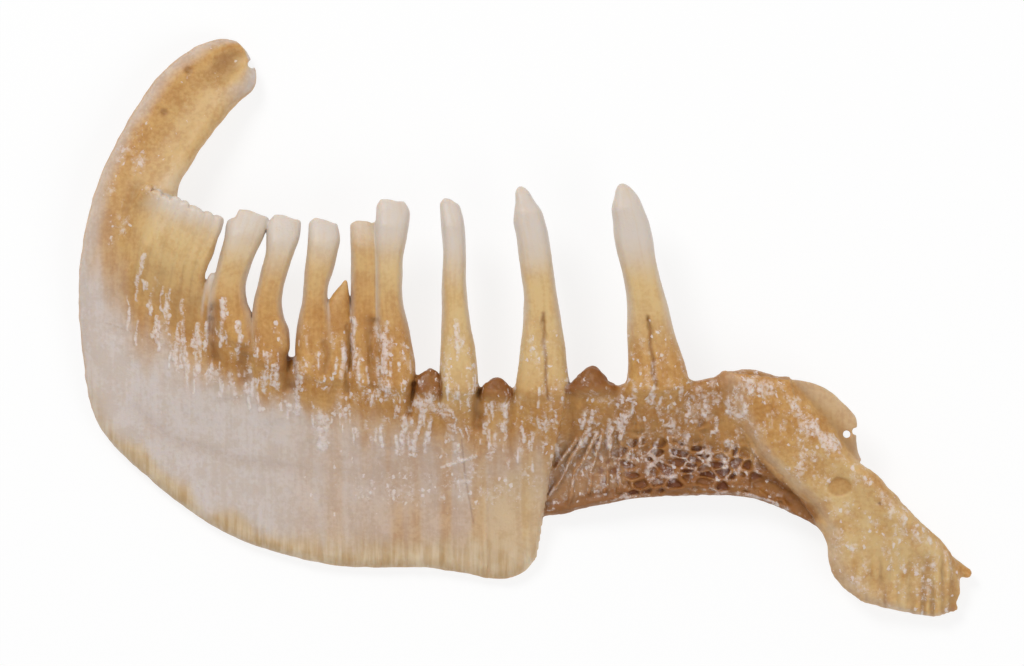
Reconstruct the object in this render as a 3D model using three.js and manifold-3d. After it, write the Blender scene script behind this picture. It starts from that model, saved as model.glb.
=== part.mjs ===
import * as THREE from 'three';
import { mergeVertices } from 'three/addons/utils/BufferGeometryUtils.js';
import Module from 'manifold-3d';

// The throat bone of a sucker fish with its one row of comb-like teeth, lying on its hinder face.
// Millimetres. X runs along the tooth row, Y towards the tooth tips, Z up from the floor.

// Driving sizes
const PART_GAP = 0.3; // kept between neighbouring parts
const CUT_DEPTH = 14; // taller than the bone, so that every cut goes right through
const FLOOR_SIZE = 60;
const EDGE_POWER = 5; // how blunt the rim of a plate is
const SECTION_POWER = 2.8; // 2 would make a tooth's section an ellipse
const TOOTH_SIDES = 12;
const SLAT_SIDES = 8; // of a comb slat or a stub
const TOOTH_HEIGHT = 3.5; // of a root's middle above the floor
const TOOTH_LIFT = 0.5; // how much a tip stands above its root
const ROOT_DEPTH = 2.4; // of a tooth from front to back
const CROWN_DEPTH = 1.7;
const FOOT_SHARE = 0.4; // of the root's depth, at the foot's sunk end
const CHISEL = { taper: 0.07, end: 0.8, slant: 0.28 };
const SPIKE = { taper: 0.2, end: 0.16, slant: 0 };

// Each plate lies between two edges, whose points pair up. Heights, half thicknesses and troughs
// are given at even steps from its first pair to its last.
const BLADE = {
  inner: [
    [-13.95, 13.8], [-13.7, 12.9], [-13.7, 12.05], [-14.45, 11.2], [-15.7, 9.7], [-16.8, 8.05],
    [-17.4, 6.6], [-16.75, 3.6], [-15.2, 0.5], [-13.2, -1.4], [-10.8, -2.2], [-8.3, -2.6],
    [-5.5, -2.9], [-2.9, -3], [-0.3, -3.1], [2, -3.25],
  ],
  outer: [
    [-14.4, 14.3], [-15.3, 14.45], [-16.7, 13.95], [-18.25, 12.7], [-19.75, 10.6], [-20.9, 8.4],
    [-21.7, 6.4], [-22.3, 3.3], [-22.3, -0.1], [-21.5, -4.6], [-18.8, -7.6], [-14.8, -10.4],
    [-9.8, -11.9], [-4.8, -12.05], [-1, -12.6], [0.8, -11.55],
  ],
  innerMid: [0.6, 1.4, 2.4, 3.2, 3.3, 3.3],
  outerMid: [0.6, 1.2, 1.6, 0.7, 0.5, 0.5],
  innerHalf: [0.7, 1.1, 1.2, 1.8, 1.8, 1.8],
  outerHalf: [0.7, 0.9, 0.9, 0.65, 0.55, 0.55],
  trough: [0.1, 0.5, 0.3, 0, 0, 0],
  stations: 46,
  steps: 11,
};
const SHAFT = {
  inner: [[-1, -3.25], [1.7, -3], [4.2, -2.9], [6.7, -2.9], [9, -2.6], [11, -2.1], [13.2, -2.6]],
  outer: [[-0.5, -9.6], [1.7, -9.4], [3.7, -8.9], [6.2, -8.5], [9, -8.4], [11.5, -8.6], [14.3, -9.6]],
  innerMid: [3.3, 3.3, 3.3, 3.3],
  outerMid: [1.2, 1.3, 1.4, 1.7],
  innerHalf: [1.7, 1.7, 1.7, 1.5],
  outerHalf: [0.7, 0.7, 0.7, 0.7],
  trough: [0, 0, 0, 0],
  stations: 16,
  steps: 9,
};
const PROCESS = {
  inner: [
    [10.1, -2.2], [10.6, -4.1], [12, -6.6], [14, -8.5], [15, -10.2], [15.3, -12.1],
    [16.5, -13.5], [18.7, -14.2], [20.6, -14.5],
  ],
  outer: [
    [13.2, -2.6], [14.8, -4.5], [16.2, -6.4], [17.7, -7.5], [19.1, -9.1], [20.4, -10.3],
    [21.5, -11.6], [21.8, -13.1], [21.6, -14.2],
  ],
  innerMid: [3.4, 3.4, 2.4, 1.2, 0.6],
  outerMid: [3.4, 3.2, 2.4, 1.3, 0.6],
  innerHalf: [1.4, 1.4, 1.1, 0.8, 0.7],
  outerHalf: [1.4, 1.3, 1.1, 0.8, 0.7],
  trough: [0, -0.2, -0.2, -0.1, 0],
  stations: 24,
  steps: 9,
};
const FLANGE = {
  inner: [
    [11.95, -3.4], [12.95, -4.1], [13.8, -5.1], [14.6, -5.9], [15.3, -6.4], [15.95, -6.7], [16.3, -7.1],
  ],
  outer: [
    [11.8, -2], [13.2, -2.5], [14.7, -2.9], [15.7, -3.6], [16.5, -4.6], [16.55, -5.9], [16.75, -6.7],
  ],
  innerMid: [3.2, 3, 2.8, 2.6],
  outerMid: [3.2, 3, 2.8, 2.6],
  innerHalf: [0.5, 0.45, 0.45, 0.45],
  outerHalf: [0.4, 0.3, 0.3, 0.3],
  trough: [0, 0, 0, 0],
  stations: 12,
  steps: 5,
};

// Teeth from the comb's end to the shaft. A foot is sunk in the bone, bow bends the axis sideways,
// and crown, waist and base are widths along the row.
const TEETH = [
  { tip: [-13.7, 5.8], foot: [-14.7, -1.1], bow: -0.5, crown: 1.9, waist: 1.65, base: 2.5, top: CHISEL },
  { tip: [-12, 5.5], foot: [-12.9, -1.9], bow: -0.26, crown: 1.65, waist: 1.3, base: 2, top: CHISEL },
  { tip: [-10.1, 5.35], foot: [-10.5, -2.6], bow: -0.16, crown: 1.55, waist: 1.25, base: 2, top: CHISEL },
  { tip: [-8.1, 5.3], foot: [-8, -3.4], bow: 0, crown: 1.2, waist: 1.3, base: 1.5, top: CHISEL },
  { tip: [-6.7, 6.4], foot: [-6.4, -3.6], bow: -0.28, crown: 1.7, waist: 1.25, base: 1.9, top: CHISEL },
  { tip: [-3.75, 6.35], foot: [-3.3, -4.6], bow: 0, crown: 1.15, waist: 1.15, base: 1.9, top: CHISEL },
  { tip: [-0.1, 6.95], foot: [0.9, -5.1], bow: 0.43, crown: 1.55, waist: 1.65, base: 2.6, top: SPIKE },
  { tip: [4.85, 7.15], foot: [6.6, -4.1], bow: 0.25, crown: 1.85, waist: 1.8, base: 3, top: SPIKE },
];
// Broken teeth, and the low cusps that stand where teeth are missing
const STUBS = [
  { tip: [-15.6, 2.8], foot: [-15.9, -0.4], bow: 0, crown: 0.4, waist: 0.6, base: 0.9, top: SPIKE },
  { tip: [-9, 2.35], foot: [-9.2, -1.9], bow: 0, crown: 0.6, waist: 0.85, base: 1.1, top: SPIKE },
  { tip: [-4.8, -2.1], foot: [-4.9, -4.6], bow: 0, crown: 0.9, waist: 1.3, base: 1.5, top: SPIKE },
  { tip: [-1.45, -2.5], foot: [-1.45, -5.1], bow: 0, crown: 0.9, waist: 1.5, base: 2, top: SPIKE },
  { tip: [3.35, -1.95], foot: [3.35, -5.1], bow: 0, crown: 1.1, waist: 1.9, base: 2.3, top: SPIKE },
];
// The close-set slats of the comb, from the first to the last
const COMB_COUNT = 8;
const COMB_FIRST = { tip: [-18.9, 7.05], foot: [-20.7, 2.9] };
const COMB_LAST = { tip: [-15.5, 5.7], foot: [-16.3, 0.4] };
const COMB_WIDTH = 0.66;
const COMB_RAGGED = 0.12; // how unevenly the slats end
const COMB_HEIGHT = 3.7;
const SPUR = {
  tip: [22.25, -12.45], foot: [20.6, -11.6], bow: 0, crown: 0.5, waist: 0.8, base: 1,
  top: CHISEL, height: 0.8, depth: 0.8,
};

// The lines along which the bone is parted
const CUTS = [
  [[-23.3, 7.6], [-15.2, 7.6]],
  [
    [-23.9, 4.9], [-22, 2.9], [-20.3, 0.9], [-18.4, -1.5], [-15.8, -3.4], [-11.3, -4.9],
    [-6.3, -5.9], [-1.3, -6.9], [2.6, -7.6],
  ],
  [[2.45, -0.4], [2.45, -7.6], [1, -13.8]],
  [[9.8, -0.6], [13.8, -11]],
];
// A point near the middle of each part, and its colour and finish
const PARTS = [
  { name: 'dorsal_limb', near: [-17.5, 11], color: 0xcfa463, roughness: 0.5 },
  { name: 'tooth_ridge', near: [-10, 1], color: 0xcdb183, roughness: 0.42 },
  { name: 'lateral_wing', near: [-12, -8], color: 0xc9b8a8, roughness: 0.5 },
  { name: 'ventral_limb', near: [7, -5], color: 0xb0834c, roughness: 0.6 },
  { name: 'symphysial_process', near: [17, -10], color: 0xc79a55, roughness: 0.48 },
];

const { lerp, smoothstep } = THREE.MathUtils;
const wasm = await Module();
wasm.setup();

// A smooth value at u, from 0 to 1, through evenly spaced ones
function along(values, u) {
  const spline = new THREE.SplineCurve(values.map((value, i) => new THREE.Vector2(i, value)));
  return spline.getPoint(u).y;
}

function edgeCurve(points) {
  return new THREE.SplineCurve(points.map(([x, y]) => new THREE.Vector2(x, y)));
}

function signedPower(value, power) {
  return Math.sign(value) * Math.abs(value) ** power;
}

// Closed solid from vertices and triangles, with its faces turned outwards
function solid(vertices, triangles) {
  const points = vertices.map((vertex) => new THREE.Vector3(...vertex));
  const volume = triangles.reduce((sum, [a, b, c]) => (
    sum + points[a].dot(points[b].clone().cross(points[c]))
  ), 0);
  const outward = volume > 0 ? triangles : triangles.map(([a, b, c]) => [a, c, b]);
  return new wasm.Manifold(new wasm.Mesh({
    numProp: 3,
    vertProperties: new Float32Array(vertices.flat()),
    triVerts: new Uint32Array(outward.flat()),
  }));
}

// Triangles of the band between rings of equal size, ring after ring
function bands(ringCount, ringSize) {
  const triangles = [];
  for (let r = 0; r < ringCount - 1; r++) {
    for (let k = 0; k < ringSize; k++) {
      const a = r * ringSize + k;
      const b = r * ringSize + ((k + 1) % ringSize);
      triangles.push([a, b, b + ringSize], [a, b + ringSize, a + ringSize]);
    }
  }
  return triangles;
}

// A bent plate between two edges: each ring runs along the upper face and back along the lower one
function plate(spec) {
  const inner = edgeCurve(spec.inner);
  const outer = edgeCurve(spec.outer);
  const { stations, steps } = spec;
  const ringSize = 2 * steps;
  const vertices = [];
  for (let s = 0; s <= stations; s++) {
    const u = s / stations;
    const a = inner.getPoint(u);
    const b = outer.getPoint(u);
    for (let k = 0; k < ringSize; k++) {
      const v = (1 - Math.cos((Math.PI * k) / steps)) / 2;
      const side = k < steps ? 1 : -1;
      const rim = (1 - Math.abs(2 * v - 1) ** EDGE_POWER) ** (1 / EDGE_POWER);
      const mid = lerp(along(spec.outerMid, u), along(spec.innerMid, u), (1 - v) ** 1.4);
      const half = lerp(along(spec.innerHalf, u), along(spec.outerHalf, u), v) * rim;
      const hollow = side > 0 ? along(spec.trough, u) * Math.sin(Math.PI * v) ** 2 : 0;
      vertices.push([lerp(a.x, b.x, v), lerp(a.y, b.y, v), mid + side * half - hollow]);
    }
  }
  const triangles = bands(stations + 1, ringSize);
  for (const [first, flip] of [[0, true], [stations * ringSize, false]]) {
    for (let k = 0; k < steps; k++) {
      const upper = [first + k, first + k + 1];
      const lower = [first + ((ringSize - k) % ringSize), first + ringSize - k - 1];
      const pair = [[upper[0], upper[1], lower[1]], [upper[0], lower[1], lower[0]]];
      const proper = pair.filter((t) => new Set(t).size === 3);
      triangles.push(...(flip ? proper.map(([i, j, l]) => [i, l, j]) : proper));
    }
  }
  return solid(vertices, triangles);
}

// A tooth from its sunk foot to its tip, with a chisel's slanted edge or a spike's point
function tooth(spec) {
  const { tip, foot, bow, crown, waist, base, top } = spec;
  const { height = TOOTH_HEIGHT, depth = ROOT_DEPTH, sides = TOOTH_SIDES } = spec;
  const start = new THREE.Vector2(...foot);
  const axis = new THREE.Vector2(...tip).sub(start);
  const across = new THREE.Vector2(axis.y, -axis.x).normalize();
  const upward = axis.clone().normalize();
  const shares = [0, 0.15, 0.3, 0.45, 0.6, 0.75, 1 - top.taper, 1 - top.taper / 2.5, 1];
  const vertices = [];
  for (const t of shares) {
    const bend = 4 * bow * t * (1 - t);
    const centre = start.clone().addScaledVector(axis, t).addScaledVector(across, bend);
    const body = lerp(lerp(base, waist, smoothstep(t, 0.1, 0.55)), crown, smoothstep(t, 0.55, 0.88));
    const narrowing = Math.max(0, (t - 1 + top.taper) / top.taper);
    const ending = lerp(1, top.end, narrowing ** 2);
    const sinking = lerp(FOOT_SHARE, 1, smoothstep(t, 0, 0.35));
    const fullDepth = lerp(depth, (depth * CROWN_DEPTH) / ROOT_DEPTH, t) * sinking;
    const halfDepth = (fullDepth / 2) * Math.sqrt(ending);
    for (let k = 0; k < sides; k++) {
      const angle = (2 * Math.PI * (k + 0.5)) / sides;
      const side = (signedPower(Math.cos(angle), 2 / SECTION_POWER) * body * ending) / 2;
      const front = signedPower(Math.sin(angle), 2 / SECTION_POWER) * halfDepth;
      const slip = -top.slant * side * smoothstep(t, 0.75, 1);
      const point = centre.clone().addScaledVector(across, side).addScaledVector(upward, slip);
      vertices.push([point.x, point.y, height + TOOTH_LIFT * t + front]);
    }
  }
  const triangles = bands(shares.length, sides);
  const last = (shares.length - 1) * sides;
  for (let k = 1; k < sides - 1; k++) {
    triangles.push([0, k + 1, k], [last, last + k, last + k + 1]);
  }
  return solid(vertices, triangles);
}

function comb() {
  return Array.from({ length: COMB_COUNT }, (_, i) => {
    const share = i / (COMB_COUNT - 1);
    const between = (key) => [0, 1].map((c) => lerp(COMB_FIRST[key][c], COMB_LAST[key][c], share));
    const [x, y] = between('tip');
    return tooth({
      tip: [x, y + COMB_RAGGED * Math.sin(5 * i)], foot: between('foot'), bow: -0.12,
      crown: COMB_WIDTH, waist: COMB_WIDTH, base: COMB_WIDTH * 1.2, top: CHISEL, height: COMB_HEIGHT,
      sides: SLAT_SIDES,
    });
  });
}

// A three.js geometry as a solid
function fromGeometry(geometry) {
  geometry.deleteAttribute('normal');
  geometry.deleteAttribute('uv');
  const merged = mergeVertices(geometry, 1e-4);
  return new wasm.Manifold(new wasm.Mesh({
    numProp: 3,
    vertProperties: new Float32Array(merged.attributes.position.array),
    triVerts: new Uint32Array(merged.index.array),
  }));
}

// An upright wall, as wide as the gap between parts, along a smooth line
function wall(points) {
  const line = edgeCurve(points);
  const count = 8 * (points.length - 1);
  const sides = [1, -1].map((side) => Array.from({ length: count + 1 }, (_, i) => {
    const direction = line.getTangent(i / count);
    const offset = new THREE.Vector2(-direction.y, direction.x).multiplyScalar((side * PART_GAP) / 2);
    return line.getPoint(i / count).add(offset);
  }));
  const shape = new THREE.Shape([...sides[0], ...sides[1].reverse()]);
  const geometry = new THREE.ExtrudeGeometry(shape, { depth: CUT_DEPTH, bevelEnabled: false });
  return fromGeometry(geometry.translate(0, 0, -CUT_DEPTH / 4));
}

function meanPoint(piece) {
  const { min, max } = piece.boundingBox();
  return new THREE.Vector2((min[0] + max[0]) / 2, (min[1] + max[1]) / 2);
}

function toMesh(piece, { name, color, roughness }) {
  const { vertProperties, triVerts } = piece.getMesh();
  const geometry = new THREE.BufferGeometry();
  geometry.setAttribute('position', new THREE.BufferAttribute(vertProperties, 3));
  geometry.setIndex(new THREE.BufferAttribute(triVerts, 1));
  geometry.computeVertexNormals();
  const mesh = new THREE.Mesh(geometry, new THREE.MeshStandardMaterial({ color, roughness, metalness: 0 }));
  mesh.name = name;
  return mesh;
}

function buildBone() {
  const plates = [BLADE, SHAFT, PROCESS, FLANGE].map(plate);
  const stubs = [...STUBS, SPUR].map((spec) => tooth({ ...spec, sides: SLAT_SIDES }));
  const teeth = [...TEETH.map(tooth), ...stubs, ...comb()];
  const below = new THREE.BoxGeometry(FLOOR_SIZE, FLOOR_SIZE, FLOOR_SIZE).translate(0, 0, -FLOOR_SIZE / 2);
  const whole = [...plates, ...teeth].reduce((sum, piece) => sum.add(piece));
  return [fromGeometry(below), ...CUTS.map(wall)].reduce((rest, cutter) => rest.subtract(cutter), whole);
}

const bone = new THREE.Group();
const pieces = buildBone().decompose().sort((a, b) => b.volume() - a.volume()).slice(0, PARTS.length);
for (const part of PARTS) {
  const near = new THREE.Vector2(...part.near);
  const nearest = pieces.reduce((a, b) => (
    meanPoint(a).distanceTo(near) < meanPoint(b).distanceTo(near) ? a : b
  ));
  bone.add(toMesh(nearest, part));
}

export default bone;
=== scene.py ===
"""Looks of a dried fish throat bone with its teeth.

One closed skin stands for all five solids, so that no seam shows. It is read off a volume in which
bent plates, teeth and slats are blended together and hollows are carved. Lengths are millimetres in
the frame of the solids: X along the tooth row, Y towards the tooth tips, Z up from the floor.
"""
from functools import reduce

import bpy
import numpy as np
import openvdb
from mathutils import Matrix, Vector


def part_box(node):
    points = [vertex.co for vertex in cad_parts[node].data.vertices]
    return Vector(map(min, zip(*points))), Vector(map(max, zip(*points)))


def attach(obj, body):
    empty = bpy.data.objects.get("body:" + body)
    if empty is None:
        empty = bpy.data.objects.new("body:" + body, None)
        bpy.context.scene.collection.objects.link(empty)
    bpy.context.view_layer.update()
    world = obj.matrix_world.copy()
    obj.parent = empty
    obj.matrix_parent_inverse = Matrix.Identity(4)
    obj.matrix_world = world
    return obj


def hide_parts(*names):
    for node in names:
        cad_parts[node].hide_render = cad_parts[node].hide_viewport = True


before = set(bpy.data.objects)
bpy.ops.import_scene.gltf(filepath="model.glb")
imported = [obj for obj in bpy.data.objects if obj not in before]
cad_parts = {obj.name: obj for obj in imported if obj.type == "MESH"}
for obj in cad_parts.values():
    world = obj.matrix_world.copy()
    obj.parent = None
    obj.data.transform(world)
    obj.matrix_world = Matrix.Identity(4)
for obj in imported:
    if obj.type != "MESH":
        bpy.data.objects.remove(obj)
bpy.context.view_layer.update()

MM = 0.001
VOXEL = 0.07
BORDER = 0.5  # of the volume round the solids
REACH = 1.2  # how far past its edge a plate's field is known
RUNGS = 160
PLATE_SAG = 1.4  # how fast a plate falls from its inner edge
SEED = 11
FLOOR_GAP = 0.01  # between the skin and the floor

# Bent plates between two edges whose points pair up. Heights of the middle and half thicknesses are
# given for the inner and for the outer edge, at even steps from the first pair to the last. Rim is how
# round the edges are, ragged how rough they are, and blend how softly a plate joins those before it.
BLADE = {
    "inner": [
        (-13.95, 13.8), (-13.5, 12.85), (-13.6, 12), (-14.45, 11.2), (-15.7, 9.7), (-16.8, 8.05),
        (-17.4, 6.6), (-16.75, 3.6), (-15.2, 0.5), (-13.2, -1.4), (-10.8, -2.2), (-8.3, -2.6),
        (-5.5, -2.9), (-2.9, -3), (-0.3, -3.1), (2, -3.25),
    ],
    "outer": [
        (-14.4, 14.3), (-15.3, 14.45), (-16.7, 13.95), (-18.25, 12.7), (-19.75, 10.6), (-20.9, 8.4),
        (-21.7, 6.4), (-22.3, 3.3), (-22.3, -0.1), (-21.5, -4.6), (-18.8, -7.6), (-14.8, -10.4),
        (-9.8, -11.9), (-4.8, -12.05), (-1, -12.6), (0.55, -11.6),
    ],
    "mid": ((0.6, 1.4, 2.4, 3, 3, 3), (0.6, 1.2, 1.6, 0.7, 0.5, 0.5)),
    "half": ((0.7, 1.1, 1.2, 1.25, 1.25, 1.25), (0.7, 0.9, 0.9, 0.65, 0.55, 0.55)),
    "rim": 0.9, "ragged": 0.05, "blend": 0.05,
}
SHAFT = {
    "inner": [(-1, -3.25), (1.7, -3), (4.2, -2.9), (6.7, -2.9), (9, -2.6), (11, -2.1), (13.2, -2.6)],
    "outer": [
        (-0.5, -9.6), (1.7, -9.4), (3.7, -8.9), (6.2, -8.5), (9, -8.4), (11.5, -8.6), (15.1, -10.1),
    ],
    "mid": ((3, 3, 3, 3.1), (0.5, 1.2, 1.4, 1.5)),
    "half": ((1.2, 1.3, 1.3, 1.3), (0.6, 0.7, 0.7, 0.7)),
    "rim": 0.7, "ragged": 0.05, "blend": 0.25,
}
PROCESS = {
    "inner": [
        (10.1, -2.2), (10.6, -4.1), (12, -6.6), (14, -8.5), (15, -10.2), (15.3, -12.1),
        (16.5, -13.5), (18.7, -14.2), (20.6, -14.5),
    ],
    "outer": [
        (13.2, -2.6), (14.8, -4.5), (16.2, -6.4), (17.7, -7.5), (19.1, -9.1), (20.4, -10.3),
        (21.5, -11.6), (21.8, -13.1), (21.6, -14.2),
    ],
    "mid": ((3, 2.6, 2, 1.1, 0.6), (3.1, 3.1, 2.5, 1.3, 0.6)),
    "half": ((1.2, 1, 0.9, 0.8, 0.6), (1.2, 1.2, 1.1, 0.8, 0.6)),
    "rim": 0.9, "ragged": 0.09, "blend": 0.9,
}
FLANGE = {
    "inner": [
        (12.3, -3.9), (13, -4.3), (13.8, -5.1), (14.6, -5.9), (15.3, -6.4), (15.95, -6.7), (16.3, -7.1),
    ],
    "outer": [
        (12.5, -3), (13.4, -2.65), (14.7, -2.9), (15.7, -3.6), (16.5, -4.6), (16.55, -5.9), (16.75, -6.7),
    ],
    "mid": ((3.5, 3.5, 3.3, 2.9), (3.3, 3.1, 2.8, 2.6)),
    "half": ((0.6, 0.55, 0.5, 0.45), (0.4, 0.3, 0.3, 0.3)),
    "rim": 0.25, "ragged": 0.05, "blend": 0.7,
}
# The comb is a plate of close-set slats, from its ragged top down to its roots
COMB = {
    "inner": [
        (-15.1, 5.6), (-15.2, 4.8), (-15.55, 3.8), (-15.9, 2.9), (-16.1, 1.9), (-16.3, 0.4), (-16.4, -1.4),
    ],
    "outer": [
        (-18.95, 7.2), (-19.45, 6.5), (-19.95, 5.7), (-20.35, 4.6), (-20.7, 3.3), (-20.9, 1.8), (-21, 0.2),
    ],
    "mid": ((4, 3.9, 3.7, 3.4), (3.5, 3.3, 3, 2.6)),
    "half": ((0.65, 0.8, 0.9, 1), (0.65, 0.8, 0.9, 1)),
    "rim": 0.35, "ragged": 0.04, "blend": 0.2,
}
COMB_LENGTH = 7
SLATS = 8
SLAT_GROOVE = 0.075

# Teeth as (y, x, width) from the tip to the sunk foot. The crown is the cutting edge from left to
# right, pale is how far the cream cap reaches down from the tip, golden is where the amber root starts
# to turn into the lighter shank, ripe is how far both turn, and sink is how much lower a tooth lies.
TEETH = [
    {"pale": 1.7, "rows": [
        (5.9, -13.6, 1.7), (5.3, -13.85, 2), (4.5, -14.05, 1.95), (3.7, -14.35, 1.75), (2.9, -14.6, 1.65),
        (2.1, -14.8, 1.65), (1.3, -14.85, 1.9), (0.5, -14.75, 2.25), (-1.2, -14.65, 2.4),
        (-3.4, -14.5, 2.1),
    ], "crown": [
        (-14.95, 5.35), (-14.45, 5.5), (-14.3, 5.9), (-13.8, 5.85), (-13.2, 5.6), (-12.85, 5.5),
    ]},
    {"pale": 2, "rows": [
        (5.6, -12, 1.6), (5.3, -12.05, 1.7), (4.5, -12.1, 1.65), (3.7, -12.25, 1.4), (2.9, -12.5, 1.35),
        (2.1, -12.7, 1.3), (1.3, -12.85, 1.4), (0.5, -12.85, 1.6), (-0.3, -12.75, 1.9), (-2, -12.7, 1.9),
        (-4.6, -12.6, 1.6),
    ], "crown": [
        (-12.8, 5.3), (-12.5, 5.62), (-12.1, 5.6), (-11.6, 5.4), (-11.2, 5.35),
    ]},
    {"pale": 1.5, "rows": [
        (5.45, -10.15, 1.35), (4.5, -10.05, 1.6), (3.7, -10.15, 1.55), (2.9, -10.3, 1.45),
        (2.1, -10.45, 1.25), (1.3, -10.5, 1.3), (0.5, -10.5, 1.65), (-1.1, -10.5, 2), (-3.2, -10.45, 2),
        (-5.5, -10.3, 1.7),
    ], "crown": [
        (-10.85, 5.25), (-10.5, 5.48), (-10, 5.35), (-9.6, 5.2), (-9.35, 5.22),
    ]},
    {"pale": 0.5, "ripe": 0.65, "sink": 0.3, "rows": [
        (5.35, -8.05, 1.4), (4.5, -8, 1.5), (2.9, -7.95, 1.55), (1.3, -7.95, 1.6), (-0.6, -7.95, 1.7),
        (-3, -7.95, 1.7), (-5.6, -7.9, 1.4),
    ], "crown": [
        (-8.75, 5.2), (-8.4, 5.35), (-7.9, 5.32), (-7.65, 5.22), (-7.5, 5.3),
    ]},
    {"pale": 2.6, "golden": -0.6, "rows": [
        (6.4, -6.75, 1.4), (5.7, -6.62, 1.7), (4.5, -6.72, 1.6), (3.7, -6.78, 1.4), (2.9, -6.8, 1.3),
        (1.3, -6.78, 1.35), (-0.3, -6.6, 1.65), (-1.9, -6.45, 1.85), (-3.6, -6.4, 1.85),
        (-5.8, -6.4, 1.6),
    ], "crown": [
        (-7.5, 6.05), (-7.25, 6.42), (-6.85, 6.42), (-6.4, 6.28), (-6.05, 6.3), (-5.75, 5.9),
    ]},
    {"pale": 3.4, "golden": -5.5, "rows": [
        (6.4, -3.85, 0.9), (5.3, -3.65, 1.15), (3.7, -3.55, 1.15), (2.1, -3.57, 1.2), (0.5, -3.48, 1.4),
        (-1.1, -3.38, 1.7), (-2.7, -3.33, 1.9), (-4.8, -3.3, 1.9), (-6.2, -3.3, 1.6),
    ], "crown": [
        (-4.3, 6.2), (-4.05, 6.45), (-3.75, 6.4), (-3.5, 6.22), (-3.2, 6.1),
    ]},
    {"pale": 3.6, "golden": -4.5, "rows": [
        (7.05, -0.24, 0.25), (6.75, -0.16, 0.7), (6.3, -0.03, 0.95), (5.8, 0.12, 1.35), (5.2, 0.2, 1.58),
        (4.5, 0.35, 1.62), (2.9, 0.57, 1.62), (1.3, 0.77, 1.7), (-0.3, 0.85, 2.05), (-1.9, 0.86, 2.45),
        (-3.2, 0.85, 2.75), (-4.8, 0.9, 2.75), (-6.6, 0.95, 2.3),
    ]},
    {"pale": 3.8, "golden": -2, "rows": [
        (7.2, 4.82, 0.3), (6.9, 4.92, 0.82), (6.45, 5.05, 1.22), (5.9, 5.1, 1.6), (5.2, 5.27, 1.82),
        (4.4, 5.39, 1.93), (2.9, 5.7, 1.8), (1.3, 6.05, 1.98), (-0.3, 6.25, 2.35), (-1.9, 6.55, 2.85),
        (-3.2, 6.6, 3.2), (-5, 6.6, 3),
    ]},
]
# Broken teeth and low cusps, where teeth are missing
STUBS = [
    {"pale": 0.4, "rows": [(2.75, -15.6, 0.15), (2.4, -15.65, 0.4), (1.2, -15.8, 0.6), (-0.6, -16, 0.7)]},
    {"rows": [
        (2.4, -8.97, 0.1), (2.1, -9.05, 0.4), (1.55, -9.25, 0.9), (0.9, -9.35, 1.2), (-0.6, -9.35, 1.4),
        (-3.6, -9.3, 1.3),
    ]},
    {"rows": [
        (-2, -4.75, 0.5), (-2.4, -4.85, 1.1), (-3.2, -4.95, 1.5), (-4.4, -5.1, 1.7), (-6, -5.2, 1.6),
    ], "crown": [
        (-5.5, -2.5), (-5.1, -2.25), (-4.75, -2.05), (-4.5, -2.2), (-4.2, -2.4),
    ]},
    {"rows": [(-2.5, -1.45, 0.3), (-2.75, -1.45, 0.9), (-3.2, -1.45, 1.5), (-5, -1.4, 1.9)]},
    {"rows": [(-1.9, 3.35, 0.2), (-2.2, 3.3, 0.9), (-2.7, 3.25, 1.8), (-3.2, 3.2, 2.6), (-5, 3.2, 3)]},
]
# Low webs of bone that close the gaps between neighbouring roots
WEBS = [
    {"sink": 0.55, "rows": [(2.3, -15.7, 0.8), (1.5, -15.8, 1.5), (-1, -15.8, 2.2)]},
    {"sink": 0.6, "rows": [(0.55, -13.75, 0.7), (-0.3, -13.75, 1.6), (-3, -13.7, 2)]},
    {"sink": 0.6, "rows": [(-1.45, -11.7, 0.8), (-2, -11.7, 1.6), (-4, -11.7, 2)]},
    {"sink": 0.6, "rows": [(1.2, -9.7, 0.6), (0.6, -9.6, 1.6), (-1, -9.5, 2.2), (-4, -9.5, 2.2)]},
    {"sink": 0.6, "rows": [(1.3, -8.7, 0.6), (0.6, -8.7, 1.4), (-1, -8.7, 1.8), (-4, -8.7, 2)]},
    {"sink": 0.3, "rows": [(-2.35, -5.5, 0.5), (-2.9, -5.55, 1), (-4.5, -5.6, 1.2)]},
    {"sink": 0.3, "rows": [(-2.8, -4.2, 0.5), (-3.4, -4.2, 1), (-5, -4.2, 1.2)]},
]
TOOTH_ROOT = {"height": 3.6, "depth": 2.4}
TOOTH_TIP = {"height": 4, "depth": 1.7}
TOOTH_POWER = 3  # 2 would make its section an ellipse
ROOT_RISE = (-0.05, 0.5)  # of a root above the bone's face, at its foot and at the ridge
ROOT_LENGTH = 3
EDGE_THINNING = 0.5  # of the depth, lost over the last stretch of a crown
EDGE_LENGTH = 1.4
# Painted light: a shank's thin sides are coloured lighter, towards cream, where its rounded section would
# otherwise show shade
SIDE_PAINTED_LIGHT = 0.55  # how far a shank's thin sides turn to cream
POINT_DEPTH = 1.3  # the most that a pointed tooth's depth is, as a share of its width
CROWN_ROUND = 0.12
FOOT_ROUND = 0.3
TOOTH_STEPS = 80
TOOTH_BLEND = 0.1  # between neighbouring teeth
ROW_BLEND = 0.35  # between the tooth row and the bone
SPUR = {"line": [(20.9, -11.8), (22.1, -12.3)], "radius": (0.6, 0.24), "height": 0.7, "blend": 0.3}


# Plain helpers


def ease(low, high, value):
    """0 where value is low, 1 where it is high, and a smooth slope between"""
    share = np.clip((value - low) / (high - low), 0, 1)
    return share * share * (3 - 2 * share)


def mix(a, b, share):
    return a + (b - a) * share


def most(*layers):
    """The highest of several layers at each place"""
    return reduce(np.maximum, layers)


def bell(value, middle, width):
    return np.exp(-(((value - middle) / width) ** 2))


def soft_min(a, b, reach):
    share = np.clip(0.5 + (b - a) / (2 * reach), 0, 1)
    return b + (a - b) * share - reach * share * (1 - share)


def soft_max(a, b, reach):
    return -soft_min(-a, -b, reach)


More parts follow.
